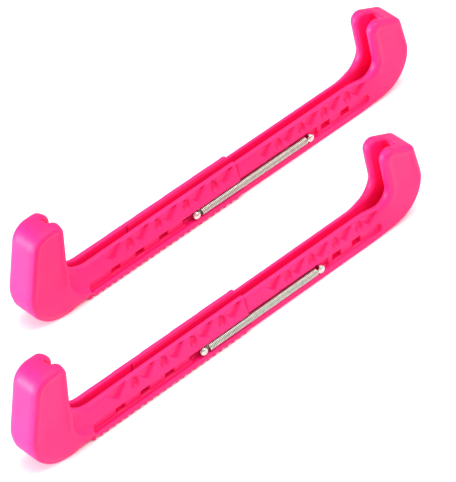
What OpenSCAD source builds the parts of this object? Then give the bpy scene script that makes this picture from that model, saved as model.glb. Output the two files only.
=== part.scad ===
// Pair of adjustable skate blade guards: each has a heel half, a sliding toe half and two springs.
// X runs heel to toe, Y across, Z up; the soles stand on Z = 0, the origin is midway under the pair.

/* [Overall] */
// overall length of one guard, closed
guard_l = 300; // [260:1:340]
// body height over the ribs
body_h = 21.5; // [20:0.5:28]
// half width of the sleeve at the sole
base_hw = 10.7; // [9:0.1:13]
// half width of the sleeve at the top lips
top_hw = 5.6; // [5:0.1:8]
// width of the blade slot
slot_w = 4.4; // [4.2:0.1:5]
// height of the blade seat above the sole
seat_z = 4.4; // [4:0.1:6]

/* [Second guard] */
// second guard, offset along X
pair_dx = -75; // [-200:1:0]
// second guard, offset along Y
pair_dy = -84; // [-150:1:-40]

/* [Heel hook] */
// height of the heel hook
heel_h = 67; // [55:1:80]
// width of the heel hook and heel block
heel_w = 21.8; // [18:0.5:26]
// x of the hook's inner face
heel_in_x = 29.5; // [26:0.5:34]
// radius of the heel corner at the sole
heel_r = 15; // [12:1:16]
// radius of the hook's top
heel_top_r = 10; // [7:0.5:12]
// width of the heel pocket
heel_pocket_w = 5; // [5:0.2:8]
// thickness of the heel end wall
heel_wall = 6; // [4:0.5:9]

/* [Toe hook] */
// height of the toe hook
toe_h = 62; // [45:1:70]
// width of the toe hook
toe_w = 20; // [17:0.5:24]
// radius of the toe corner at the sole
toe_r = 17; // [14:1:18]
// x of the toe hook's inner edge at the top
toe_in_x = 267.5; // [260:0.5:276]
// radius of the fillet between body and toe hook
toe_fillet = 15; // [8:1:22]
// width of the toe pocket
toe_pocket_w = 7; // [5:0.2:9]
// thickness of the toe end wall
toe_wall = 10; // [6:0.5:11]

/* [Sleeve and tongue] */
// x of the sleeve's open end
sleeve_end = 162.4; // [158:0.1:166]
// step from sleeve surface to toe half surface
inset = 1.5; // [1.2:0.1:2]
// sliding clearance all round the tongue
slide_gap = 0.3; // [0.3:0.05:0.5]
// x where the tongue ends inside the sleeve
tongue_start = 84; // [76:1:94]
// height of the cross ribs under the sleeve
rib_h = 1.4; // [0.8:0.1:2]
// spacing of the cross ribs
rib_pitch = 4.75; // [4:0.05:6]

/* [Spring groove] */
// groove bottom edge
groove_z0 = 3.7; // [3:0.1:4]
// groove height
groove_h = 6; // [5.8:0.1:7]
// x of the groove's heel end
groove_x0 = 43; // [36:0.1:46]
// x of the groove's toe end
groove_x1 = 266.5; // [258:0.5:268]
// distance of the groove floor from the centre plane
floor_y = 5.3; // [5:0.1:6]
// spacing of the windows in the heel half's groove
heel_window_pitch = 18.6; // [18:0.1:18.8]
// spacing of the windows in the toe half's groove
toe_window_pitch = 15.8; // [15.5:0.1:16]
// length of a window
window_l = 7; // [5:0.1:7.2]
// x of the first window on the heel half
heel_window_x = 62; // [60:0.1:62.2]
// x of the last window on the toe half
toe_window_x = 244.6; // [243:0.1:246]

/* [Springs and pins] */
// x of the heel pins
heel_pin_x = 127; // [127:0.1:132]
// x of the toe pins
toe_pin_x = 218; // [208:0.5:224]
// outside diameter of the spring
coil_od = 4.8; // [4:0.1:5.2]
// wire diameter
wire_d = 0.8; // [0.6:0.05:1]
// coil spacing at rest
coil_pitch = 1.05; // [0.8:0.05:1.5]
// pin shank radius
pin_r = 1.1; // [0.8:0.05:1.3]
// pin head radius
head_r = 2.6; // [2:0.1:2.8]

/* [Side relief] */
// spacing of the V recesses on the heel half
heel_relief_pitch = 22; // [18:0.1:22.6]
// spacing of the V recesses on the toe half
toe_relief_pitch = 18.6; // [17:0.1:19]
// x of the first V on the heel half
heel_v_x = 60; // [54:0.1:62]
// x of the first V on the toe half
toe_v_x = 178.5; // [174:0.1:182]
// half width of a V
v_hw = 6.4; // [4:0.1:8]
// depth of the recesses
v_depth = 0.7; // [0.4:0.1:1]

/* [Hidden] */
$fn = 48;
pair_mid = [(guard_l + pair_dx) / 2, pair_dy / 2, 0];
sole_z = rib_h;
lean = atan((base_hw - top_hw) / (body_h - sole_z));
wall = inset - slide_gap;
stem_hw = floor_y - wall - slide_gap;
groove_z1 = groove_z0 + groove_h;
groove_mid = (groove_z0 + groove_z1) / 2;
groove_r = 2;
cavity_z = groove_z1 + wall;
cavity_top = body_h - wall;
cavity_x = tongue_start - 4;
sleeve_floor = groove_z0 - 0.2;
tongue_top = body_h - inset;
lip_r = 1;
window_h = 4.4;
heel_windows = 5;
tongue_windows = 3;
toe_windows = [0, 1, 3, 4];

heel_corner = [heel_r, heel_r, heel_r];
heel_top = [heel_in_x - heel_top_r, heel_h - heel_top_r, heel_top_r];
heel_foot = [heel_in_x - 1, 1, 1];
heel_fillet = 16;
toe_corner = [guard_l - toe_r, toe_r, toe_r];
toe_back = [guard_l - 14.5, toe_h - 11.5, 5.5];
toe_front = [toe_in_x + 7, toe_h - 7, 7];
toe_foot = [toe_in_x + 8, 1, 1];
edge_r = 4;
rim_r = 3;
far = 100;
clear = 0.01;

ribs = floor((sleeve_end - heel_in_x - 10) / rib_pitch);
rib_w = 2;
vees = 5;
v_top = body_h - 1.2;
v_tip = 0.625 * body_h;
dimple_z = 0.81 * body_h;
dimple_r = 3.2;

wire_r = wire_d / 2;
coil_r = coil_od / 2;
coil_mid_r = coil_r - wire_r;
spring_y = floor_y + slide_gap + coil_r;
loop_r = pin_r + wire_r + 0.4;
coil_n = floor((toe_pin_x - heel_pin_x - 2 * loop_r - 2.6) / coil_pitch);
coil_x0 = (heel_pin_x + toe_pin_x - (coil_n - 1) * coil_pitch) / 2;
coil_x1 = coil_x0 + (coil_n - 1) * coil_pitch;
head_y = spring_y + wire_r + 0.35;
head_t = 0.6;
dome_h = 1.1;
dome_r = (head_r * head_r + dome_h * dome_h) / (2 * dome_h);
toe_pin_root = 3.2;

// outer tangent of two circles [x, y, r], on the right of the way from a to b
function tangent(a, b) =
  let (d = [b[0] - a[0], b[1] - a[1]], u = d / norm(d), s = (a[2] - b[2]) / norm(d))
  let (n = [u[1], -u[0]] * sqrt(1 - s * s) + u * s)
  [[a[0], a[1]] + n * a[2], [b[0], b[1]] + n * b[2]];

// angle from upright of the line through two points in the side view
function tilt(p) = atan((p[1][0] - p[0][0]) / (p[1][1] - p[0][1]));

// half width of the sleeve surface at height z
function side_hw(z) = base_hw - (z - sole_z) * tan(lean);

// area wrapped round circles listed anticlockwise
module wrap(cs) {
  k = len(cs);
  polygon([for (i = [0 : k - 1]) each tangent(cs[i], cs[(i + 1) % k])]);
  for (c = cs) translate([c[0], c[1]]) circle(r = c[2]);
}

// prism along X of a section drawn in (y, z)
module along_x(x0, x1) {
  translate([x0, 0, 0]) rotate([90, 0, 90]) linear_extrude(x1 - x0) children();
}

// prism across Y of a side view drawn in (x, z)
module across_y(w) {
  translate([0, w / 2, 0]) rotate([90, 0, 0]) linear_extrude(w) children();
}

// symmetric block
module block(x0, x1, hw, z0, z1) {
  translate([x0, -hw, z0]) cube([x1 - x0, 2 * hw, z1 - z0]);
}

// tapered section with sharp corners, set in from the sleeve surface
module taper(set_in, z0, z1) {
  low = side_hw(z0) - set_in;
  top = side_hw(z1) - set_in;
  polygon([[low, z0], [top, z1], [-top, z1], [-low, z0]]);
}

// the same with rounded corners
module round_taper(set_in, z0, z1) {
  low = side_hw(z0 + lip_r) - set_in - lip_r / cos(lean);
  top = side_hw(z1 - lip_r) - set_in - lip_r / cos(lean);
  wrap([[low, z0 + lip_r, lip_r], [top, z1 - lip_r, lip_r],
    [-top, z1 - lip_r, lip_r], [-low, z0 + lip_r, lip_r]]);
}

module mirrored() {
  children();
  mirror([0, 1, 0]) children();
}

// spring grooves, cut in from both sides, with rounded ends
module grooves(x0, x1) {
  mirrored() translate([0, floor_y + base_hw, 0]) across_y(2 * base_hw)
    wrap([[x0 + groove_r, groove_z0 + groove_r, groove_r],
      [x1 - groove_r, groove_z0 + groove_r, groove_r],
      [x1 - groove_r, groove_z1 - groove_r, groove_r],
      [x0 + groove_r, groove_z1 - groove_r, groove_r]]);
}

// windows through the groove floor on both sides
module windows(xs) {
  for (x = xs) block(x, x + window_l, floor_y + 1, groove_mid - window_h / 2, groove_mid + window_h / 2);
}

// recesses on both sides: V shapes with round dimples between them
module relief(x0, pitch, set_in) {
  mirrored() translate([0, set_in - base_hw, sole_z]) rotate([-lean, 0, 0]) translate([0, v_depth, 0]) {
    for (i = [0 : vees - 1]) translate([x0 + i * pitch, 0, -sole_z])
      rotate([90, 0, 0]) linear_extrude(4) polygon([[-v_hw, v_top], [0, v_tip], [v_hw, v_top]]);
    for (i = [0 : vees - 2]) translate([x0 + (i + 0.5) * pitch, -dimple_r, dimple_z - sole_z])
      sphere(r = dimple_r);
  }
}

// rounds the upright edges of a hook that leans by the angle a; the outer face starts at p
module upright_edges(p, a, w, side) {
  y = w / 2 - edge_r + clear;
  translate([p[0], 0, p[1]]) rotate([0, a, 0]) translate([0, 0, -far]) linear_extrude(2 * far)
    scale([side, 1]) wrap([[edge_r, -y, edge_r], [far, -y, edge_r], [far, y, edge_r], [edge_r, y, edge_r]]);
}

// rounds the long edges of a hook, seen along X
module rims(w, h) {
  low = w / 2 - edge_r + clear;
  top = w / 2 - rim_r + clear;
  along_x(-far, guard_l + far)
    wrap([[low, edge_r - clear, edge_r], [top, h - rim_r + clear, rim_r],
      [-top, h - rim_r + clear, rim_r], [-low, edge_r - clear, edge_r]]);
}

module heel_block() {
  outer = tangent(heel_top, heel_corner);
  intersection() {
    across_y(heel_w) {
      wrap([heel_corner, heel_foot, heel_top]);
      difference() {
        translate([heel_in_x - 1, 0]) square([heel_fillet + 1, body_h - clear]);
        translate([heel_in_x + heel_fillet, body_h - clear]) circle(r = heel_fillet);
      }
    }
    upright_edges(outer[1], tilt(outer), heel_w, 1);
    rims(heel_w, heel_h);
  }
}

module heel_pocket() {
  a = tilt(tangent(heel_top, heel_corner));
  r = heel_r - heel_wall;
  up = [heel_r + far * sin(a), heel_r + far * cos(a), r];
  intersection() {
    across_y(heel_pocket_w) wrap([[heel_r, heel_r, r], [far, heel_r, r], [far, far, 1], up]);
    block(0, heel_in_x + heel_fillet, heel_w, 0, far);
  }
}

module toe_block() {
  outer = tangent(toe_corner, toe_back);
  front = tangent(toe_front, toe_foot);
  z = tongue_top + toe_fillet;
  x = front[0][0] + (z - front[0][1]) * tan(tilt(front)) - toe_fillet / cos(tilt(front));
  intersection() {
    across_y(toe_w) {
      wrap([toe_foot, toe_corner, toe_back, toe_front]);
      difference() {
        translate([x, 0]) square([toe_fillet + 2, z]);
        translate([x, z]) circle(r = toe_fillet);
      }
    }
    upright_edges(outer[0], tilt(outer), toe_w, -1);
    rims(toe_w, toe_h);
  }
}

module toe_pocket() {
  a = tilt(tangent(toe_corner, toe_back));
  r = toe_r - toe_wall;
  up = [toe_corner[0] + far * sin(a), toe_r + far * cos(a), r];
  x = groove_x1 - far;
  intersection() {
    across_y(toe_pocket_w) wrap([[x, seat_z + 1, 1], [toe_corner[0], toe_r, r], up, [x, far, 1]]);
    block(toe_in_x - toe_fillet, guard_l, toe_w, 0, far);
  }
}

module sleeve_body() {
  along_x(heel_r, sleeve_end) round_taper(0, sole_z, body_h);
  for (i = [1 : ribs])
    block(heel_in_x + 8 + i * rib_pitch, heel_in_x + 8 + i * rib_pitch + rib_w, base_hw - lip_r, 0, sole_z + 0.5);
}

module sleeve_hollow() {
  along_x(cavity_x, far + sleeve_end) {
    taper(wall, cavity_z, cavity_top);
    translate([-stem_hw - slide_gap, sleeve_floor]) square([2 * (stem_hw + slide_gap), body_h / 2]);
  }
  block(heel_r - 2, far + sleeve_end, slot_w / 2, seat_z, far);
  heel_pocket();
}

module heel_half() {
  color([0.95, 0.1, 0.45])
    difference() {
      union() {
        sleeve_body();
        heel_block();
      }
      sleeve_hollow();
      grooves(groove_x0, sleeve_end + far);
      windows([for (i = [0 : heel_windows - 1]) heel_window_x + i * heel_window_pitch]);
      relief(heel_v_x, heel_relief_pitch, 0);
      mirrored() pin_hole(heel_pin_x);
    }
}

module tongue() {
  along_x(tongue_start, sleeve_end + 2) {
    taper(inset, cavity_z + slide_gap, tongue_top);
    translate([-stem_hw, sleeve_floor + slide_gap]) square([2 * stem_hw, body_h / 2]);
  }
}

module toe_half() {
  color([0.95, 0.1, 0.45])
    difference() {
      union() {
        tongue();
        along_x(sleeve_end + slide_gap, toe_in_x + 4) round_taper(inset, 0, tongue_top - clear);
        toe_block();
      }
      block(tongue_start - 1, toe_in_x + 6, slot_w / 2, seat_z, far);
      toe_pocket();
      grooves(sleeve_end - 5, groove_x1);
      windows([for (i = [0 : tongue_windows - 1]) heel_window_x + (i + 2) * heel_window_pitch]);
      windows([for (i = toe_windows) toe_window_x - i * toe_window_pitch]);
      relief(toe_v_x, toe_relief_pitch, inset);
      mirrored() pin_hole(toe_pin_x);
    }
}

module pin_hole(x) {
  translate([x, -floor_y, groove_mid]) rotate([90, 0, 0]) translate([0, 0, toe_pin_root - floor_y])
    cylinder(r = pin_r, h = far);
}

// domed pin on the -Y side, shank from y = -root
module pin(x, root) {
  color([0.75, 0.76, 0.74])
    translate([x, 0, groove_mid]) rotate([90, 0, 0]) {
      translate([0, 0, root]) cylinder(r = pin_r, h = head_y - root);
      translate([0, 0, head_y]) cylinder(r = head_r, h = head_t);
      intersection() {
        translate([0, 0, head_y + head_t + dome_h - dome_r]) sphere(r = dome_r);
        translate([0, 0, head_y + head_t]) cylinder(r = head_r, h = dome_h + 1);
      }
    }
}

module heel_pin() {
  pin(heel_pin_x, floor_y - wall + 0.05);
}

module toe_pin() {
  pin(toe_pin_x, toe_pin_root);
}

// wire hook from a pin's loop to the rim of the coil, at one end of the spring
module spring_end(pin_x, coil_x, dir) {
  x = pin_x + dir * loop_r;
  translate([pin_x, 0, 0]) rotate([90, 0, 0]) rotate_extrude() translate([loop_r, 0]) circle(r = wire_r);
  translate([min(x, coil_x), 0, 0]) rotate([0, 90, 0]) cylinder(r = wire_r, h = abs(coil_x - x));
  translate([coil_x, 0, 0]) cylinder(r = wire_r, h = coil_mid_r);
}

// section of the close-wound coil: a thin tube with a ridge for each turn
module coil_section() {
  inner = coil_mid_r - wire_r;
  ridges = [for (i = [0 : coil_n - 2]) each [[coil_mid_r, coil_x0 + i * coil_pitch],
    [coil_r, coil_x0 + (i + 0.5) * coil_pitch]]];
  polygon(concat([[inner, coil_x1], [inner, coil_x0]], ridges, [[coil_mid_r, coil_x1]]));
}

// spring on the -Y side
module spring() {
  color([0.7, 0.71, 0.69])
    translate([0, -spring_y, groove_mid]) {
      rotate([0, 90, 0]) rotate_extrude() coil_section();
      spring_end(heel_pin_x, coil_x0, 1);
      spring_end(toe_pin_x, coil_x1, -1);
    }
}

// copy of a -Y side piece on the +Y side
module to_left() {
  mirror([0, 1, 0]) children();
}

module as_a() {
  translate(-pair_mid) children();
}

module as_b() {
  translate([pair_dx, pair_dy, 0] - pair_mid) children();
}

as_a() heel_half();  // guard_a_heel_half
as_a() toe_half();  // guard_a_toe_half
as_a() to_left() spring();  // guard_a_spring_left
as_a() spring();  // guard_a_spring_right
as_a() to_left() heel_pin();  // guard_a_heel_pin_left
as_a() heel_pin();  // guard_a_heel_pin_right
as_a() to_left() toe_pin();  // guard_a_toe_pin_left
as_a() toe_pin();  // guard_a_toe_pin_right
as_b() heel_half();  // guard_b_heel_half
as_b() toe_half();  // guard_b_toe_half
as_b() to_left() spring();  // guard_b_spring_left
as_b() spring();  // guard_b_spring_right
as_b() to_left() heel_pin();  // guard_b_heel_pin_left
as_b() heel_pin();  // guard_b_heel_pin_right
as_b() to_left() toe_pin();  // guard_b_toe_pin_left
as_b() toe_pin();  // guard_b_toe_pin_right
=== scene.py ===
import math

import bpy
import numpy as np
import openvdb
from mathutils import Matrix, Vector


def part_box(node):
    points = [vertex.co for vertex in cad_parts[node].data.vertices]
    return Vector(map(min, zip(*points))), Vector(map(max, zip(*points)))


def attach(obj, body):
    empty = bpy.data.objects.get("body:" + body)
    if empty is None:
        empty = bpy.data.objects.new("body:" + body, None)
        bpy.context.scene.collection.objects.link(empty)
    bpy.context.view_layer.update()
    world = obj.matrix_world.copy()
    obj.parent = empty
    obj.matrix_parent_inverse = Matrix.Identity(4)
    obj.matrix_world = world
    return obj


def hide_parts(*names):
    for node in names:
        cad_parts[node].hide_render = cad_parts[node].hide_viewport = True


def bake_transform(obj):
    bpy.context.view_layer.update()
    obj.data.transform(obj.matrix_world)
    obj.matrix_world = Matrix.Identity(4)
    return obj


# Pair of adjustable skate blade guards round the CAD frame. The moulded halves are meshes of distance
# fields, the springs are wound wire and the pins are turned profiles.

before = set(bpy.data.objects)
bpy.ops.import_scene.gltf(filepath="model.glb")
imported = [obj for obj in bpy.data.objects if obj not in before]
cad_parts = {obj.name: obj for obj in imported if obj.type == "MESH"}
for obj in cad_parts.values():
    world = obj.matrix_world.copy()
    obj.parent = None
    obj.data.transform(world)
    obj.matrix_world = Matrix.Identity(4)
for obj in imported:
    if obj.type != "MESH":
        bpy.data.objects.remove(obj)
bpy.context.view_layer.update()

MM = 0.001
SIDES = {"left": 1, "right": -1}        # each side of a guard and the sign of its y

# ---------------------------------------------------------------- sizes, in millimetres
# Guard coordinates: x from the heel face, y from the centre plane, z from the floor.
# A corner of an outline is (x, z, radius). A pair named for a ramp holds its start and its end.

# body of both halves
BODY_H = 21.5               # top of the sleeve's lips
SOLE_Z = 1.2                # underside of the sleeve, on top of its ribs
BASE_HW, TOP_HW = 10.7, 5.6 # half width of the sleeve at SOLE_Z and at BODY_H
LEAN = math.atan((BASE_HW - TOP_HW) / (BODY_H - SOLE_Z))    # lean of the sleeve's side, in radians
INSET = 1.15                # step from the sleeve down to the toe half
TOE_BODY_H = BODY_H - INSET # top of the toe half's lips
SLEEVE_END = 162.4          # open end of the sleeve
GAP = 0.3                   # running gap between the halves
TOE_START = SLEEVE_END + GAP            # end of the toe half's body, next to the sleeve
SLOT_HW, SEAT_Z = 2.2, 4.4  # half width and floor of the blade slot
LIP_R, LOW_R = 2.2, 0.8     # rounding of the body's upper and lower long edges
LIP_RAMP = (10.0, 17.0)     # heights between which the lower rounding turns into the upper
INNER_R = 0.2               # rounding of edges inside the slot and the cavity

# spring groove and its windows
FLOOR_Y = 5.3               # groove floor, from the centre plane
GROOVE_Z = (3.7, 9.7)       # lower and upper edge of the groove
GROOVE_X = (43.0, 266.5)    # ends of the groove
GROOVE_FLOOR_R, GROOVE_RIM_R = 0.4, 0.45
BAR_H = 1.7                 # rise of the groove floor where no spring runs
HEEL_BAR_RAMP, TOE_BAR_RAMP = (119.0, 120.0), (225.0, 226.0)
TOE_GROOVE_X = SLEEVE_END - 9           # start of the toe half's groove, past its open end
WINDOW_L, WINDOW_HH = 7.0, 2.3          # length and half height of a window
WINDOW_R, WINDOW_RIM_R = 0.5, 0.35      # rounding of its corners and of its rim
HEEL_WINDOW_X, HEEL_WINDOW_PITCH = 62.0, 18.6
TOE_WINDOW_X, TOE_WINDOW_PITCH = 244.6, 15.8
HEEL_WINDOWS = [HEEL_WINDOW_X + i * HEEL_WINDOW_PITCH for i in range(5)]
TONGUE_WINDOWS = HEEL_WINDOWS[2:]       # the sleeve's windows that have the tongue behind them
TOE_WINDOWS = [TOE_WINDOW_X - i * TOE_WINDOW_PITCH for i in (0, 1, 3, 4)]

# heel hook
HEEL_HW = 10.85             # half width of the heel hook
HEEL_LEAN = 10.2            # degrees that the heel face leans
HEEL_R = 24.0               # radius of the heel's lower corner, in the side view
HEEL_TOP_R = 12.0           # radius of its upper corner
HEEL_FRONT, HEEL_FRONT_R = 29.8, 7.5    # front of the hook at its top, and the radius there
# corners where the hook's thick part ends, downwards
HEEL_FOOT = ((29.4, 8, 14), (42.5, 8, 3), (45.5, 1.5, 1), (33, 1.5, 3))
# corners of the sleeve, from the hook's front along its lips and back under it
SLEEVE = ((29.6, BODY_H, 17), (SLEEVE_END, BODY_H, 0.6), (SLEEVE_END, SOLE_Z, 0.4), (33, SOLE_Z, 3))
SOLE_STEP = (30, 0, 2)      # corner where the heel's sole rises to the sleeve
HEEL_RIM = 5.5              # rounding of the heel hook's long edges
HEEL_RIM_RAMP = (-2.0, 3.0) # depths inside the thick part over which that rounding sets in
HEEL_HOOK_RAMP = (-1.6, 1.4)            # depths over which the hook's width sets in
HEEL_PANEL = 1.3            # depth of the flat panel in the hook's side
HEEL_PANEL_RAMP, HEEL_PANEL_Z = (2.6, 5.6), (10.0, 34.0)
HEEL_POCKET_HW = 2.5
HEEL_POCKET_R = 14.0        # radius at the bottom of the heel pocket
HEEL_POCKET_RAMP = (30.0, 44.0)         # where the pocket narrows to the slot
HEEL_SLOT_RIM = (2.4, 1.2)  # rounding of the slot's rim on the hook and on the sleeve
HEEL_SLOT_RIM_RAMP = (30.0, 40.0)
POCKET_LEAN = 17.0          # degrees that the heel pocket's end leans
HEEL_WALL = 7.5             # thickness of the heel's end wall

# toe hook
TOE_HW = 9.95               # half width of the toe hook
TOE_LEAN = 13.5             # degrees that the toe's back leans
TOE_R = 24.0                # radius of the toe's lower corner
TOE_FALL = 12.0             # how far the toe's top falls towards its back
TOE_TIP, TOE_TIP_R = 268.4, 6.0         # inner end of the top, and the radius there
TOE_BACK_R = 7.0            # radius of the back's upper corner
TOE_INNER = ((275, TOE_BODY_H, 9), (271.8, 40, 25))         # corners of the hook's inner edge, upwards
TOE_END_R = 0.4             # rounding of the end that meets the sleeve
TOE_TAPER_RISE = 3.0        # height above the body up to which its taper goes on
TOE_RIM = 3.4               # rounding of the toe hook's long edges
FLARE_TILT, RIM_TILT = 0.35, 0.3        # how far the ramps below run back for each millimetre upwards
FLARE_RAMP = (250.0, 277.0) # where the body widens into the hook
TOE_HOOK_RAMP = (268.0, 276.0)
TOE_PANEL = 0.6             # depth of the flat panel in the hook's side
TOE_PANEL_RAMP, TOE_PANEL_Z = (2.8, 6.4), (16.0, 30.0)
TOE_POCKET_HW = 3.5
TOE_POCKET_RAMP = (250.0, 268.0)        # where the slot widens to the pocket
TOE_SLOT_RIM = (1.1, 2.6)   # rounding of the slot's rim on the body and on the hook
TOE_SLOT_RIM_RAMP = (256.0, 270.0)
TOE_WALL = 10.5             # thickness of the toe's end wall
TOE_SLOT_X = 60.0           # start of the slot's outline, past the tongue's end
TOE_SLOT_LOW, TOE_SLOT_LOW_R = 9.0, 12.0            # height where the pocket's end turns inwards
TOE_SEAT_END, TOE_SEAT_END_R = 262.0, 8.0           # end of the level slot floor

# side pattern: a row of V pockets with oval dimples between them
HEEL_PATTERN = (64.2, 22.0, 0.0)    # first V, pitch along x, how far it lies below the sleeve's
TOE_PATTERN = (184.2, 18.6, 1.9)
VEES = 5                    # Vs on each half
V_TOP, V_TIP = 20.7, 13.9   # heights of a V's open top and of its tip
V_DEPTH = 2.3
V_SPREAD = 0.37             # half width of a V's open top, as a share of the pitch
V_SLANT = 0.75              # turns a distance along x into one square to the V's edge
V_WALL_RAMP = (-0.15, 0.5)  # distances in from the outline over which a V goes down
V_FLOOR, V_LEAST = 0.4, 0.12            # share of the depth at the top's middle, and the least share
V_TIP_GAIN, V_ARM_GAIN = 0.45, 0.4      # share gained towards the tip and towards the right arm
DIMPLE_Z = 16.9
DIMPLE_AT = 0.585           # where a dimple lies between two Vs, as a share of the pitch
DIMPLE = (3.0, 3.6)         # half width and half height of a dimple
DIMPLE_DEPTH = 1.9
DIMPLE_REACH, DIMPLE_SHIFT = 1.1, 0.25  # size of the bowl, and how far it leans to the right
DIMPLE_RAMP = (0.0, 0.8)

# painted shade in the recesses, from 0 to 1, which turns their colour crimson
V_SHADE_RAMP = (0.5, 3.6)     # distances from the right arm over which the painted shade fades
V_LEFT_SHADE, V_LEFT_SHADE_RAMP = 0.9, (0.3, 1.2)       # the same along the left arm
V_SHADE_EDGE, V_SHADE_TOP = (-0.1, 0.3), (0.0, 2.0)     # fades at the outline and under the open top
DIMPLE_SHADE, DIMPLE_SHADE_RAMP = 0.25, (-0.6, 0.35)    # least painted shade of a dimple, and where it grows
LEDGE_SHADE, LEDGE_RAMP = 0.8, (0.8, 2.6)             # painted shade on the groove's lower ledge, fading upwards
LEDGE_EDGE = (-1.6, -0.5)   # fade towards the body's outer side
LEDGE_MARGIN = 0.4          # how far the ledge's painted shade reaches past its edges

# cross ribs under the sleeve
RIB_X0, RIB_PITCH, RIB_W, RIBS = 37.5, 4.75, 2.0, 25
RIB_INSET, RIB_ROOT, RIB_R = 0.3, 1.5, 0.5          # inset at the sides, depth in the sole, rounding

# tongue and the sleeve's cavity for it
CAVITY_X, TONGUE_X = 83.3, 84.0
CAVITY_WALL = 3.0           # skin between the side pattern and the sleeve's cavity
FLOOR_WALL = 1.2            # skin between the groove floor and the sleeve's cavity
WING_WALL = 1.2             # skin below and above the cavity's wings
CAVITY_Z = (GROOVE_Z[1] + WING_WALL, BODY_H - WING_WALL)
CAVITY_R, TONGUE_R = 0.3, 0.4           # rounding of the long edges of the cavity and the tongue
TONGUE_RIM_R = 0.5          # rounding of the slot's rim on the tongue
STEM_ROOT, WING_ROOT = 3.0, 2.0         # how far the tongue's parts reach into the toe half

# springs and pins
PIN_Z = 6.7                 # height of the pins and of the spring axis
HEEL_PIN_X, TOE_PIN_X = 127.0, 218.0
SPRING_Y = 8.0              # spring axis, from the centre plane
COIL_R, WIRE_R, COIL_PITCH = 2.0, 0.4, 1.05
COIL_MARGIN = 1.3           # least way from a loop to the coil
LOOP_R = 1.9
LOOP_TURN, LOOP_POINTS = (70, 350), 26  # degrees round the pin that a loop runs, and its points
PIN_R, HEAD_R, HEAD_T, DOME_H = 1.1, 2.6, 0.6, 1.1
DOME_A, DOME_POINTS = 1.15, 9           # angle in radians that the dome's arc covers, and its points
HEAD_EDGE, HEAD_RIM = 0.12, 0.3         # rounding of the head's upper and lower edge
RIM_CUT = 0.3               # how much of the rim's rounding its middle corner cuts off
SHANK_BEVEL = 0.2

# limits that lie past everything, for blocks and outlines that are open on one side
PAST_X, PAST_YZ, HIGH = 200.0, 99.0, 90.0
MARGIN = 1.0                # how far a cut or a test reaches past the skin that it is for

# fineness of the meshes
VOXEL = 0.37
ADAPT = 0.007               # how far flat stretches of a half may be simplified
ARC_STEP = 0.6              # length of a step along an outline's rounded corner
TURN_STEPS = 28
PIN_STEPS = 40
WIRE_SIDES = 8


# ---------------------------------------------------------------- distance fields, negative inside

def rmax(a, b, r):
    """Intersection of two fields, its edge rounded to the radius r."""
    return np.hypot(np.maximum(a + r, 0), np.maximum(b + r, 0)) + np.minimum(np.maximum(a, b), -r)


def cut(a, hole, r):
    """The field a with a hole taken out, its rim rounded to the radius r."""
    return rmax(a, -hole, r)


def ramp(t, a, b):
    """Smooth ramp from 0 at a to 1 at b."""
    s = np.clip((t - a) / (b - a), 0, 1)
    return s * s * (3 - 2 * s)


def mix(a, b, t):
    """a where t is 0 and b where t is 1."""
    return a + (b - a) * t


def lean_x(x, z, degrees, at_z):
    """x at the height at_z on a line through (x, z) that leans towards +x."""
    return x + (at_z - z) * math.tan(math.radians(degrees))


def rounded(corners):
    """Closed outline through corners (x, z, radius), each rounded by an arc."""
    points = []
    n = len(corners)
    for i, (x, z, r) in enumerate(corners):
        here = np.array((x, z), float)
        back = np.array(corners[i - 1][:2], float) - here
        on = np.array(corners[(i + 1) % n][:2], float) - here
        back, on = back / np.linalg.norm(back), on / np.linalg.norm(on)
        half = math.acos(np.clip(back @ on, -1, 1)) / 2
        if r <= 0:
            points.append(here)
            continue
        centre = here + (back + on) / np.linalg.norm(back + on) * r / math.sin(half)
        start = here + back * r / math.tan(half) - centre
        end = here + on * r / math.tan(half) - centre
        turn = math.pi - 2 * half
        steps = max(3, int(turn * r / ARC_STEP))
        for k in range(steps + 1):
            t = k / steps
            arm = (math.sin((1 - t) * turn) * start + math.sin(t * turn) * end) / math.sin(turn)
            points.append(centre + arm)
    return np.array(points)


def outline_field(corners, X, Z):
    """Signed distance in the side view to the outline that rounded() draws."""
    pts = rounded(corners)
    px, pz = X[:, 0, :].astype(float), Z[:, 0, :].astype(float)
    px, pz = np.broadcast_arrays(px, pz)
    best = np.full(px.shape, np.inf)
    inside = np.zeros(px.shape, bool)
    for a, b in zip(pts, np.roll(pts, -1, axis=0)):
        e = b - a
        wx, wz = px - a[0], pz - a[1]
        t = np.clip((wx * e[0] + wz * e[1]) / max(e @ e, 1e-12), 0, 1)
        best = np.minimum(best, (wx - t * e[0]) ** 2 + (wz - t * e[1]) ** 2)
        crosses = (a[1] <= pz) != (b[1] <= pz)
        with np.errstate(divide="ignore", invalid="ignore"):
            at = a[0] + (pz - a[1]) * e[0] / e[1]
        inside ^= crosses & (px < at)
    d = np.sqrt(best)
    return np.where(inside, -d, d).astype(np.float32)[:, None, :]


def box_field(X, Y, Z, x, y, z, r):
    """Block between pairs of limits, its edges rounded; a side's limit may lie far outside."""
    qs = [np.abs(A - (lo + hi) / 2) - (hi - lo) / 2 + r for A, (lo, hi) in ((X, x), (Y, y), (Z, z))]
    outside = np.sqrt(sum(np.maximum(q, 0) ** 2 for q in qs))
    return outside + np.minimum(np.maximum(np.maximum(qs[0], qs[1]), qs[2]), 0) - r


# ---------------------------------------------------------------- what both halves share

def taper_hw(Z, inset):
    """Half width of the body at height z."""
    return BASE_HW - inset / math.cos(LEAN) - (Z - SOLE_Z) * math.tan(LEAN)


def body_edge(Z):
    """Rounding of the body's long edges at height z."""
    return mix(LOW_R, LIP_R, ramp(Z, *LIP_RAMP))


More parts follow.
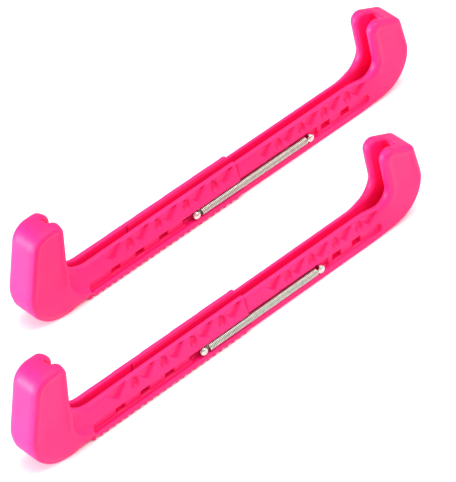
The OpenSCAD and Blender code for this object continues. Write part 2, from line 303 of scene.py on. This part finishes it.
def v_pocket(u, z, pitch):
    """Depth and painted shade of a V whose middle is at u = 0; it deepens to its tip and its right arm."""
    down = (V_TOP - z) / (V_TOP - V_TIP)
    hw = V_SPREAD * pitch
    from_left = ((1 - down) * hw + u) * V_SLANT
    from_right = ((1 - down) * hw - u) * V_SLANT
    inside = np.minimum(np.minimum(from_left, from_right), V_TOP - z)
    floor = np.clip(V_FLOOR + V_TIP_GAIN * down + V_ARM_GAIN * u / hw, V_LEAST, 1)
    left = V_LEFT_SHADE * (1 - ramp(from_left, *V_LEFT_SHADE_RAMP))
    shade = np.maximum(1 - ramp(from_right, *V_SHADE_RAMP), left)
    shade_value = shade * ramp(inside, *V_SHADE_EDGE) * ramp(V_TOP - z, *V_SHADE_TOP)
    return ramp(inside, *V_WALL_RAMP) * floor * V_DEPTH, shade_value


def dimple(u, z):
    """Depth and painted shade of an oval dimple whose middle is at u = 0."""
    u = u / DIMPLE[0]
    w = (z - DIMPLE_Z) / DIMPLE[1]
    bowl = ramp(DIMPLE_REACH - (u * u + w * w) + DIMPLE_SHIFT * u, *DIMPLE_RAMP)
    return DIMPLE_DEPTH * bowl, bowl * mix(DIMPLE_SHADE, 1, ramp(u, *DIMPLE_SHADE_RAMP))


def relief(X, Z, first, pitch, lower):
    """Depth and painted shade of the whole side pattern of a half."""
    z = Z + lower
    shape = np.broadcast_shapes(X.shape, Z.shape)
    depth, shade_value = np.zeros(shape, np.float32), np.zeros(shape, np.float32)
    recesses = [v_pocket(X - first - i * pitch, z, pitch) for i in range(VEES)]
    recesses += [dimple(X - first - (i + DIMPLE_AT) * pitch, z) for i in range(VEES - 1)]
    for recess_depth, pocket_shade in recesses:
        depth = np.maximum(depth, recess_depth)
        shade_value = np.maximum(shade_value, pocket_shade)
    return depth, shade_value


def painted_shade(x, y, z, first, pitch, lower):
    """Painted shade at points of a half, from 0 to 1: how far the colour of a recess turns crimson."""
    side = np.abs(y)
    shade_value = relief(x, z, first, pitch, lower)[1] * (side > FLOOR_Y - MARGIN)
    ledge = 1 - ramp(z - GROOVE_Z[0], *LEDGE_RAMP)
    ledge = ledge * ramp(side, FLOOR_Y - LEDGE_MARGIN, FLOOR_Y) * LEDGE_SHADE
    ledge = ledge * (1 - ramp(side - taper_hw(z, 0), *LEDGE_EDGE))
    ledge = ledge * (z > GROOVE_Z[0] - LEDGE_MARGIN) * (x > GROOVE_X[0]) * (x < GROOVE_X[1])
    return np.maximum(shade_value, ledge)


def groove_field(X, Y, Z, x0, x1, floor):
    """Spring groove with round ends, open outwards, down to a floor at the distance floor."""
    r = (GROOVE_Z[1] - GROOVE_Z[0]) / 2
    beyond = np.maximum(np.maximum(x0 + r - X, X - x1 + r), 0)
    mid = sum(GROOVE_Z) / 2
    side = np.where(beyond > 0, np.hypot(beyond, Z - mid), np.abs(Z - mid)) - r
    return rmax(side, floor - Y, GROOVE_FLOOR_R)


def cut_windows(field, X, Y, Z, starts):
    """The field with the windows that begin at the given x cut through the groove floor."""
    y = (-MARGIN, FLOOR_Y + BAR_H + MARGIN)
    z = (PIN_Z - WINDOW_HH, PIN_Z + WINDOW_HH)
    for x in starts:
        hole = box_field(X, Y, Z, (x, x + WINDOW_L), y, z, WINDOW_R)
        field = cut(field, hole, WINDOW_RIM_R)
    return field


# ---------------------------------------------------------------- the heel half

heel_lo, heel_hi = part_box("guard_a_heel_half")
HEEL_TOP = heel_hi.z / MM
# foot of the heel face's line, placed so that the round lower corner touches x = 0
HEEL_FACE_FOOT = lean_x(HEEL_R * (1 - 1 / math.cos(math.radians(HEEL_LEAN))), HEEL_R, HEEL_LEAN, 0)


def cross_ribs(X, Y, Z):
    """Row of ribs across the underside of the sleeve."""
    middle = X - RIB_X0 - RIB_W / 2
    nearest = np.clip(np.round(middle / RIB_PITCH), 1, RIBS)
    x = middle - nearest * RIB_PITCH
    y = (-PAST_YZ, BASE_HW - RIB_INSET)
    return box_field(x, Y, Z, (-RIB_W / 2, RIB_W / 2), y, (0, SOLE_Z + RIB_ROOT), RIB_R)


def heel_slot(X, Y, Z):
    """Blade slot of the heel half with its pocket in the hook."""
    inner = HEEL_FACE_FOOT + HEEL_WALL / math.cos(math.radians(HEEL_LEAN))
    top = lean_x(inner, 0, POCKET_LEAN, HIGH)
    low = lean_x(inner, 0, POCKET_LEAN, SEAT_Z)
    corners = [(low, SEAT_Z, HEEL_POCKET_R), (top, HIGH, 0), (PAST_X, HIGH, 0), (PAST_X, SEAT_Z, 0)]
    slot_hw = mix(HEEL_POCKET_HW, SLOT_HW, ramp(X, *HEEL_POCKET_RAMP))
    return rmax(outline_field(corners, X, Z), Y - slot_hw, INNER_R)


def sleeve_cavity(X, Y, Z):
    """Room for the tongue: a deep part beside the slot and a wing behind the side pattern."""
    y = (-PAST_YZ, FLOOR_Y - FLOOR_WALL)
    stem = box_field(X, Y, Z, (CAVITY_X, PAST_X), y, (GROOVE_Z[0], CAVITY_Z[1]), INNER_R)
    past_z = np.maximum(CAVITY_Z[0] - Z, Z - CAVITY_Z[1])
    wing = rmax(Y - taper_hw(Z, CAVITY_WALL), past_z, CAVITY_R)
    return np.minimum(stem, np.maximum(wing, CAVITY_X - X))


def heel_field(X, Y, Z):
    """The heel half: hook, sleeve with its cavity, slot, side pattern, spring groove and cross ribs."""
    face = lean_x(HEEL_FACE_FOOT, 0, HEEL_LEAN, HEEL_TOP)
    upper = [(HEEL_FACE_FOOT, 0, HEEL_R), (face, HEEL_TOP, HEEL_TOP_R),
             (HEEL_FRONT, HEEL_TOP, HEEL_FRONT_R)]
    block = outline_field([*upper, *HEEL_FOOT, SOLE_STEP], X, Z)
    whole = outline_field([*upper, *SLEEVE, SOLE_STEP], X, Z)
    hook = ramp(-block, *HEEL_HOOK_RAMP)
    panel = HEEL_PANEL * ramp(-block, *HEEL_PANEL_RAMP) * ramp(Z, *HEEL_PANEL_Z)
    wide = mix(taper_hw(np.minimum(Z, BODY_H), 0), HEEL_HW - panel, hook)
    wide = wide - relief(X, Z, *HEEL_PATTERN)[0]
    edge = mix(body_edge(Z), HEEL_RIM, ramp(-block, *HEEL_RIM_RAMP))
    field = rmax(whole, Y - wide, edge)
    field = np.minimum(field, cross_ribs(X, Y, Z))

    slot_rim = mix(*HEEL_SLOT_RIM, ramp(X, *HEEL_SLOT_RIM_RAMP))
    field = cut(field, heel_slot(X, Y, Z), slot_rim)
    field = cut(field, sleeve_cavity(X, Y, Z), INNER_R)
    floor = FLOOR_Y + BAR_H * (1 - ramp(X, *HEEL_BAR_RAMP))
    field = cut(field, groove_field(X, Y, Z, GROOVE_X[0], PAST_X, floor), GROOVE_RIM_R)
    return cut_windows(field, X, Y, Z, HEEL_WINDOWS)


# ---------------------------------------------------------------- the toe half

toe_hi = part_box("guard_a_toe_half")[1]
TOE_TOP = toe_hi.z / MM
GUARD_L = (toe_hi.x - heel_lo.x) / MM
TOE_BACK_Z = TOE_TOP - TOE_FALL
# foot of the back's line, placed so that the round lower corner touches x = GUARD_L
TOE_BACK_FOOT = lean_x(GUARD_L - TOE_R * (1 - 1 / math.cos(math.radians(TOE_LEAN))), TOE_R, -TOE_LEAN, 0)
TOE_SLOT_FOOT = TOE_BACK_FOOT - TOE_WALL / math.cos(math.radians(TOE_LEAN))


def toe_slot(X, Y, Z):
    """Blade slot of the toe half with its pocket in the hook."""
    top = lean_x(TOE_SLOT_FOOT, 0, -TOE_LEAN, HIGH)
    low = lean_x(TOE_SLOT_FOOT, 0, -TOE_LEAN, TOE_SLOT_LOW)
    corners = [(TOE_SLOT_X, SEAT_Z, 0), (TOE_SLOT_X, HIGH, 0), (top, HIGH, 0),
               (low, TOE_SLOT_LOW, TOE_SLOT_LOW_R), (TOE_SEAT_END, SEAT_Z, TOE_SEAT_END_R)]
    widening = ramp(X + FLARE_TILT * (Z - TOE_BODY_H), *TOE_POCKET_RAMP)
    return rmax(outline_field(corners, X, Z), Y - mix(SLOT_HW, TOE_POCKET_HW, widening), INNER_R)


def tongue_field(X, Y, Z):
    """The slotted tongue, which has the gap GAP to the sleeve above, below and at its sides."""
    y = (-PAST_YZ, FLOOR_Y - FLOOR_WALL - GAP)
    z = (GROOVE_Z[0] + GAP, CAVITY_Z[1] - GAP)
    stem = box_field(X, Y, Z, (TONGUE_X, TOE_START + STEM_ROOT), y, z, CAVITY_R)
    past_z = np.maximum(CAVITY_Z[0] + GAP - Z, Z - CAVITY_Z[1] + GAP)
    wing = rmax(Y - taper_hw(Z, CAVITY_WALL + GAP), past_z, TONGUE_R)
    wing = np.maximum(wing, np.maximum(TONGUE_X - X, X - TOE_START - WING_ROOT))
    slot = box_field(X, Y, Z, (0, GUARD_L), (-PAST_YZ, SLOT_HW), (SEAT_Z, PAST_YZ), INNER_R)
    return cut(np.minimum(stem, wing), slot, TONGUE_RIM_R)


def toe_field(X, Y, Z):
    """The toe half: hook, slotted body, side pattern, spring groove and the tongue inside the sleeve."""
    back = lean_x(TOE_BACK_FOOT, 0, -TOE_LEAN, TOE_BACK_Z)
    whole = outline_field([
        (TOE_START, 0, TOE_END_R), (TOE_START, TOE_BODY_H, TOE_END_R), *TOE_INNER,
        (TOE_TIP, TOE_TOP, TOE_TIP_R), (back, TOE_BACK_Z, TOE_BACK_R), (TOE_BACK_FOOT, 0, TOE_R)], X, Z)
    flare = ramp(X + FLARE_TILT * (Z - TOE_BODY_H), *FLARE_RAMP)
    hook = ramp(X, *TOE_HOOK_RAMP)
    panel = TOE_PANEL * ramp(-whole, *TOE_PANEL_RAMP) * hook * ramp(Z, *TOE_PANEL_Z)
    wide = mix(taper_hw(np.minimum(Z, TOE_BODY_H + TOE_TAPER_RISE), INSET), TOE_HW - panel, flare)
    wide = wide - relief(X, Z, *TOE_PATTERN)[0]
    field = rmax(whole, Y - wide, mix(body_edge(Z), TOE_RIM, flare))

    slot_rim = mix(*TOE_SLOT_RIM, ramp(X + RIM_TILT * (Z - TOE_BODY_H), *TOE_SLOT_RIM_RAMP))
    field = cut(field, toe_slot(X, Y, Z), slot_rim)
    floor = FLOOR_Y + BAR_H * ramp(X, *TOE_BAR_RAMP)
    field = cut(field, groove_field(X, Y, Z, TOE_GROOVE_X, GROOVE_X[1], floor), GROOVE_RIM_R)
    field = np.minimum(field, tongue_field(X, Y, Z))
    field = cut_windows(field, X, Y, Z, TOE_WINDOWS)
    return cut_windows(field, X, Y, Z, TONGUE_WINDOWS)


# ---------------------------------------------------------------- meshes

def mesh_data(name, verts, faces):
    """Smooth mesh from points and faces."""
    mesh = bpy.data.meshes.new(name)
    points = [tuple(float(c) for c in v) for v in verts]
    polygons = [tuple(int(i) for i in f) for f in faces]
    mesh.from_pydata(points, [], polygons)
    mesh.validate()
    mesh.update()
    mesh.polygons.foreach_set("use_smooth", [True] * len(mesh.polygons))
    return mesh


def mesh_of_field(name, field, pattern, x, y_max, z):
    """Mesh of a field that is alike on both sides of y = 0, with its painted shade stored on the points.
    """
    h = VOXEL
    band = 3 * h            # distance from the surface up to which the grid knows the field
    X = np.arange(x[0] - 2 * h, x[1] + 3 * h, h, dtype=np.float32)[:, None, None]
    Y = np.arange(0, y_max + 4 * h, h, dtype=np.float32)[None, :, None]
    Z = np.arange(z[0] - 2 * h, z[1] + 3 * h, h, dtype=np.float32)[None, None, :]
    d = np.clip(field(X, Y, Z), -band, band).astype(np.float32)
    d = np.concatenate([d[:, :0:-1, :], d], axis=1)
    grid = openvdb.FloatGrid(band)
    grid.copyFromArray(d)
    points, tris, quads = grid.convertToPolygons(isovalue=0.0, adaptivity=ADAPT)
    points = points * h + np.array([X.flat[0], -(Y.size - 1) * h, Z.flat[0]])
    mesh = mesh_data(name, points, [*quads, *tris])
    # painted shade of the recesses, kept on the points for the plastic's colour
    shade_value = painted_shade(*points.T, *pattern).astype(np.float32)
    mesh.attributes.new("painted_shade", "FLOAT", "POINT").data.foreach_set("value", shade_value)
    return mesh


def place(name, mesh, offset):
    """Object with its own copy of a mesh in millimetres, moved by offset metres inside the copy."""
    mesh = mesh.copy()
    mesh.transform(Matrix.Translation(offset) @ Matrix.Scale(MM, 4))
    obj = bpy.data.objects.new(name, mesh)
    bpy.context.scene.collection.objects.link(obj)
    return obj


# ---------------------------------------------------------------- materials

PINK = ((0.93, 0.0060, 0.150), (0.96, 0.0085, 0.170))
RECESS_SHADE_PINK = (1.0, 0.0, 0.088)           # painted shade: crimson where the plastic lies deep in a recess
SHADE_PINK = (0.74, 0.0, 0.120)       # painted shade: darker pink where the shade stored on the mesh is high
RECESS_SHADE_REACH = 0.005        # metres over which a recess counts as deep for the painted shade
# ranges over which the two painted shades set in
RECESS_SHADE_STOPS, SHADE_STOPS = (0.30, 0.93), (0.0, 0.95)
NOISE_STOPS = (0.3, 0.7)    # the range that most of a noise lies in
WIRE_COLOURS = ((0.50, 0.53, 0.47), (0.74, 0.78, 0.70))
PIN_COLOURS = ((0.55, 0.57, 0.53), (0.74, 0.76, 0.70))
FLOOR_GREYS = ((0.92, 0.92, 0.92), (0.96, 0.96, 0.96))


class Nodes:
    """Short hand for building a node tree."""

    def __init__(self, name):
        self.mat = bpy.data.materials.new(name)
        self.mat.use_nodes = True
        self.tree = self.mat.node_tree
        self.bsdf = self.tree.nodes["Principled BSDF"]

    def add(self, kind, **values):
        """New node; a value goes to the input of that name, or else to the node's own setting."""
        node = self.tree.nodes.new(kind)
        for key, value in values.items():
            if key in node.inputs:
                node.inputs[key].default_value = value
            else:
                setattr(node, key, value)
        return node

    def link(self, a, b):
        self.tree.links.new(a, b)

    def surface(self, socket, output):
        """Joins an output to a socket of the surface shader."""
        self.link(output, self.bsdf.inputs[socket])

    def noise(self, scale, detail):
        coords = self.add("ShaderNodeTexCoord")
        noise = self.add("ShaderNodeTexNoise", Scale=scale, Detail=detail, Roughness=0.55)
        self.link(coords.outputs["Object"], noise.inputs["Vector"])
        return noise.outputs["Fac"]

    def ramp(self, fac, low, high):
        """Colour that goes from low to high with a noise."""
        node = self.add("ShaderNodeValToRGB")
        for element, at, colour in zip(node.color_ramp.elements, NOISE_STOPS, (low, high)):
            element.position = at
            element.color = (*colour, 1)
        self.link(fac, node.inputs["Fac"])
        return node.outputs["Color"]

    def span(self, fac, low, high, stops=NOISE_STOPS):
        """Number that goes from low to high while fac goes from the first stop to the second."""
        node = self.add("ShaderNodeMapRange")
        for key, value in zip(("From Min", "From Max", "To Min", "To Max"), (*stops, low, high)):
            node.inputs[key].default_value = value
        self.link(fac, node.inputs["Value"])
        return node.outputs["Result"]

    def mix(self, fac, colour, other):
        """Colour of a surface that turns to the plain colour other where fac is 1."""
        # the node has sockets for every data type; for colours they are inputs 6 and 7 and output 2
        node = self.add("ShaderNodeMix", data_type="RGBA")
        self.link(fac, node.inputs[0])
        self.link(colour, node.inputs[6])
        node.inputs[7].default_value = (*other, 1)
        return node.outputs[2]

    def bump(self, fac, strength, distance, normal=None):
        node = self.add("ShaderNodeBump", Strength=strength, Distance=distance)
        self.link(fac, node.inputs["Height"])
        if normal is not None:
            self.link(normal, node.inputs["Normal"])
        return node.outputs["Normal"]


def guard_plastic():
    """Satin moulded plastic in hot pink, with painted shade that turns its recesses redder, fine grain and
    slight flow marks.
    """
    m = Nodes("guard_plastic")
    cloud = m.ramp(m.noise(45.0, 2.0), *PINK)
    # painted shade: the occlusion turns recesses crimson, and the shade stored on the mesh darkens the
    # side pattern and the groove's ledge
    recess = m.add("ShaderNodeAmbientOcclusion", Distance=RECESS_SHADE_REACH, samples=8, only_local=True)
    deep = m.span(recess.outputs["AO"], 1.0, 0.0, RECESS_SHADE_STOPS)
    pattern = m.add("ShaderNodeAttribute", attribute_name="painted_shade")
    shade_amount = m.span(pattern.outputs["Fac"], 0.0, 1.0, SHADE_STOPS)
    m.surface("Base Color", m.mix(shade_amount, m.mix(deep, cloud, RECESS_SHADE_PINK), SHADE_PINK))
    m.surface("Roughness", m.span(m.noise(900.0, 3.0), 0.47, 0.57))
    grain = m.bump(m.noise(3200.0, 2.0), 0.06, 0.0003)
    m.surface("Normal", m.bump(m.noise(130.0, 2.0), 0.05, 0.002, grain))
    m.bsdf.inputs["IOR"].default_value = 1.45
    m.bsdf.inputs["Specular IOR Level"].default_value = 0.38
    return m.mat


def steel(name, colours, rough, fine):
    """Bright wire or pin steel with drawing marks and a little dullness; fine sets how dense they are."""
    m = Nodes(name)
    m.bsdf.inputs["Metallic"].default_value = 1.0
    m.surface("Base Color", m.ramp(m.noise(fine, 4.0), *colours))
    m.surface("Roughness", m.span(m.noise(fine * 2.2, 3.0), *rough))
    m.surface("Normal", m.bump(m.noise(fine * 3, 3.0), 0.12, 0.0001))
    return m.mat


def floor_material():
    """Pale studio floor."""
    m = Nodes("floor_pale")
    m.surface("Base Color", m.ramp(m.noise(6.0, 4.0), *FLOOR_GREYS))
    m.bsdf.inputs["Roughness"].default_value = 0.8
    return m.mat


PLASTIC = guard_plastic()
WIRE = steel("spring_wire", WIRE_COLOURS, (0.26, 0.40), 700.0)
PIN = steel("pin_steel", PIN_COLOURS, (0.12, 0.24), 500.0)


# ---------------------------------------------------------------- springs and pins

def tube(path, radius, sides):
    """Closed-ended tube of constant radius along a list of points."""
    pts = np.array(path)
    along = np.gradient(pts, axis=0)
    along /= np.linalg.norm(along, axis=1)[:, None]
    normal = np.cross(along[0], (0.3, 0.5, 0.8))    # any direction that isn't along the path's start
    rings = []
    for t, point in zip(along, pts):
        normal = normal - t * (normal @ t)
        normal = normal / np.linalg.norm(normal)
        side = np.cross(t, normal)
        turn = np.arange(sides) * 2 * math.pi / sides
        rings.append(point + radius * (np.cos(turn)[:, None] * normal + np.sin(turn)[:, None] * side))
    verts = np.concatenate(rings + [pts[:1], pts[-1:]])
    faces = []
    n = len(pts)
    for i in range(n - 1):
        for k in range(sides):
            j = (k + 1) % sides
            faces.append((i * sides + k, i * sides + j, (i + 1) * sides + j, (i + 1) * sides + k))
    first, last = n * sides, n * sides + 1
    for k in range(sides):
        j = (k + 1) % sides
        faces.append((j, k, first))
        faces.append(((n - 1) * sides + k, (n - 1) * sides + j, last))
    return verts, faces


def spring_path():
    """Centre line of one spring in the plane of its pins: loop, close-wound coil, loop."""
    length = TOE_PIN_X - HEEL_PIN_X
    turns = int((length - 2 * LOOP_R - 2 * COIL_MARGIN) / COIL_PITCH)
    x0 = (length - turns * COIL_PITCH) / 2
    angles = np.linspace(*np.radians(LOOP_TURN), LOOP_POINTS)
    loop = np.array([(LOOP_R * math.cos(a), 0.0, LOOP_R * math.sin(a)) for a in angles])
    steps = turns * TURN_STEPS
    turn = np.arange(steps + 1) * 2 * math.pi / TURN_STEPS
    x = x0 + np.arange(steps + 1) / TURN_STEPS * COIL_PITCH
    coil = np.stack([x, COIL_R * np.sin(turn), -COIL_R * np.cos(turn)], axis=1)
    far = loop[::-1] * (-1, 1, 1) + (length, 0, 0)
    return np.concatenate([loop, coil, far])


def blend_spring(obj):
    """Bakes the spring's placement into its mesh."""
    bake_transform(obj)


def lathe(profile, steps):
    """Solid turned about the z axis from (radius, z) points that start and end on the axis."""
    verts = [(0, 0, profile[0][1])]
    for r, z in profile[1:-1]:
        for k in range(steps):
            a = k * 2 * math.pi / steps
            verts.append((r * math.cos(a), r * math.sin(a), z))
    verts.append((0, 0, profile[-1][1]))
    faces = []
    rows = len(profile) - 2
    for k in range(steps):
        j = (k + 1) % steps
        faces.append((0, 1 + j, 1 + k))
        for i in range(rows - 1):
            a, b = 1 + i * steps, 1 + (i + 1) * steps
            faces.append((a + k, a + j, b + j, b + k))
        a = 1 + (rows - 1) * steps
        faces.append((a + k, a + j, len(verts) - 1))
    return verts, faces


def pin_profile(depth):
    """Half section of a domed pin: shank, flat head with a rounded rim, and dome; its top at z = 0."""
    fall = DOME_H / (1 - math.cos(DOME_A))
    wide = (HEAD_R - HEAD_EDGE) / math.sin(DOME_A)
    dome = [(wide * math.sin(a), -fall * (1 - math.cos(a))) for a in np.linspace(0, DOME_A, DOME_POINTS)]
    low = -DOME_H - HEAD_T
    middle = (HEAD_R - HEAD_RIM * RIM_CUT, low + HEAD_RIM * RIM_CUT)
    rim = [(HEAD_R, -DOME_H - HEAD_EDGE), (HEAD_R, low + HEAD_RIM), middle, (HEAD_R - HEAD_RIM, low)]
    shank = [(PIN_R, low), (PIN_R, -depth + SHANK_BEVEL), (PIN_R - SHANK_BEVEL, -depth), (0, -depth)]
    return (dome + rim + shank)[::-1]


# ---------------------------------------------------------------- pieces

def finish_piece(obj, material, node):
    """Gives a piece its material and hides the CAD node that it stands for."""
    obj.data.materials.append(material)
    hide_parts(node)


def half_piece(guard, half, mesh, origin):
    """One moulded half of a guard."""
    obj = place(guard + "_" + half + "_shell", mesh, origin)
    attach(obj, guard + "_" + half + "_body")
    finish_piece(obj, PLASTIC, guard + "_" + half + "_half")


def spring_piece(guard, side, origin):
    """One wire spring on its two pins."""
    at = origin + Vector((HEEL_PIN_X, SIDES[side] * SPRING_Y, PIN_Z)) * MM
    obj = place(guard + "_wire_" + side, spring_mesh, at)
    finish_piece(obj, WIRE, guard + "_spring_" + side)
    blend_spring(obj)


def pin_piece(guard, half, side):
    """One domed pin in the place of the CAD pin, its shank inwards and as deep."""
    node = guard + "_" + half + "_pin_" + side
    lo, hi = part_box(node)
    mesh = mesh_data("pin", *lathe(pin_profile((hi.y - lo.y) / MM), PIN_STEPS))
    mesh.transform(Matrix.Rotation(math.radians(-90 * SIDES[side]), 4, "X"))
    top = hi.y if SIDES[side] > 0 else lo.y
    at = Vector(((lo.x + hi.x) / 2, top, (lo.z + hi.z) / 2))
    obj = place(guard + "_" + half + "_rivet_" + side, mesh, at)
    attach(obj, guard + "_" + half + "_body")
    finish_piece(obj, PIN, node)


heel_mesh = mesh_of_field("heel_shell", heel_field, HEEL_PATTERN, (0, SLEEVE_END), HEEL_HW, (0, HEEL_TOP))
toe_mesh = mesh_of_field("toe_shell", toe_field, TOE_PATTERN, (TONGUE_X, GUARD_L), TOE_HW, (0, TOE_TOP))
wire_path = spring_path()
spring_mesh = mesh_data("spring_wire", *tube(wire_path, WIRE_R, WIRE_SIDES))

for guard in ("guard_a", "guard_b"):
    lo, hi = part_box(guard + "_heel_half")
    origin = Vector((lo.x, (lo.y + hi.y) / 2, 0))
    half_piece(guard, "heel", heel_mesh, origin)
    half_piece(guard, "toe", toe_mesh, origin)
    for side in SIDES:
        spring_piece(guard, side, origin)
        pin_piece(guard, "heel", side)
        pin_piece(guard, "toe", side)


# ---------------------------------------------------------------- stage, light and camera
# Metres from here on. In degrees, azimuth 0 is square to the right sides, at -y, and grows towards +x,
# and elevation is the angle above the floor.

FLOOR_HALF, FLOOR_DROP = 6.0, 0.0004
LIGHTS = {                  # azimuth, elevation, distance, diameter, watts
    "key": (-113, 9, 1.6, 0.5, 42),
    "side": (42, 46, 1.7, 0.7, 6),
    "overhead": (20, 82, 1.9, 1.6, 23),
}
WORLD_STRENGTH = 0.85
CAM_AZIMUTH, CAM_ELEVATION, CAM_ROLL = -41.3, 42.2, -4.1
CAM_TARGET = (0.0054, -0.0022, 0.015)
CAM_DISTANCE = 2.6
CAM_LENS = 344.9            # millimetres
CAM_FAR = 50                # how far the camera sees


def away(azimuth, elevation):
    """Unit vector from the guards towards a light or the camera."""
    a, e = math.radians(azimuth), math.radians(elevation)
    return Vector((math.sin(a) * math.cos(e), -math.cos(a) * math.cos(e), math.sin(e)))


def stage():
    """Pale floor under the guards."""
    s = FLOOR_HALF
    mesh = mesh_data("floor", [(-s, -s, 0), (s, -s, 0), (s, s, 0), (-s, s, 0)], [(0, 1, 2, 3)])
    floor = bpy.data.objects.new("floor", mesh)
    floor.location.z = -FLOOR_DROP
    mesh.materials.append(floor_material())
    bpy.context.scene.collection.objects.link(floor)


def studio_world():
    """Even white surroundings."""
    world = bpy.data.worlds.new("studio")
    bpy.context.scene.world = world
    world.use_nodes = True
    background = world.node_tree.nodes["Background"]
    background.inputs["Color"].default_value = (1, 1, 1, 1)
    background.inputs["Strength"].default_value = WORLD_STRENGTH


def area_light(name, azimuth, elevation, distance, size, power):
    """Round soft box that looks at the pair."""
    data = bpy.data.lights.new(name, "AREA")
    data.shape = "DISK"
    data.size, data.energy = size, power
    light = bpy.data.objects.new(name, data)
    bpy.context.scene.collection.objects.link(light)
    back = away(azimuth, elevation)
    light.location = back * distance
    light.rotation_mode = "QUATERNION"
    light.rotation_quaternion = (-back).to_track_quat("-Z", "Y")


def camera():
    """Camera from the heel end, above and in front."""
    data = bpy.data.cameras.new("camera")
    cam = bpy.data.objects.new("camera", data)
    bpy.context.scene.collection.objects.link(cam)
    back = away(CAM_AZIMUTH, CAM_ELEVATION)
    roll = Matrix.Rotation(math.radians(CAM_ROLL), 3, back).to_quaternion()
    cam.rotation_mode = "QUATERNION"
    cam.rotation_quaternion = roll @ (-back).to_track_quat("-Z", "Y")
    cam.location = Vector(CAM_TARGET) + back * CAM_DISTANCE
    data.lens = CAM_LENS
    data.clip_end = CAM_FAR
    bpy.context.scene.camera = cam


stage()
studio_world()
for name, values in LIGHTS.items():
    area_light(name, *values)
camera()
bpy.context.scene.view_settings.view_transform = "Standard"
